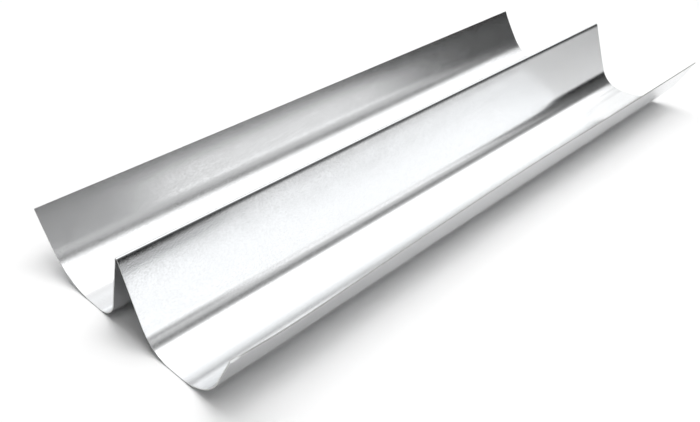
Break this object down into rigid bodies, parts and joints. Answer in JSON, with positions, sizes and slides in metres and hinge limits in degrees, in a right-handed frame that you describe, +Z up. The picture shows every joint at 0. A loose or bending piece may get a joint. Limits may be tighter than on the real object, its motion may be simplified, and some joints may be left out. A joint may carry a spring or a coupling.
{
  "type": "baguette pan",
  "caption": "Double-trough baguette pan bent from one thin tinned-steel sheet: W-shaped section with a tight middle ridge, rounded trough floors and open ends.",
  "frame": {"origin": "middle of the pan's footprint, on the surface that it stands on", "axes": "+X across the two troughs, +Y along the troughs and the ridge, +Z up towards the ridge"},
  "size_m": [0.15, 0.38, 0.043],
  "materials": {
    "tinned_steel": "bright satin tinplate with a fine stippled grain"
  },
  "bodies": {
    "root": {"pan_sheet": "tinned_steel"}
  },
  "joints": []
}
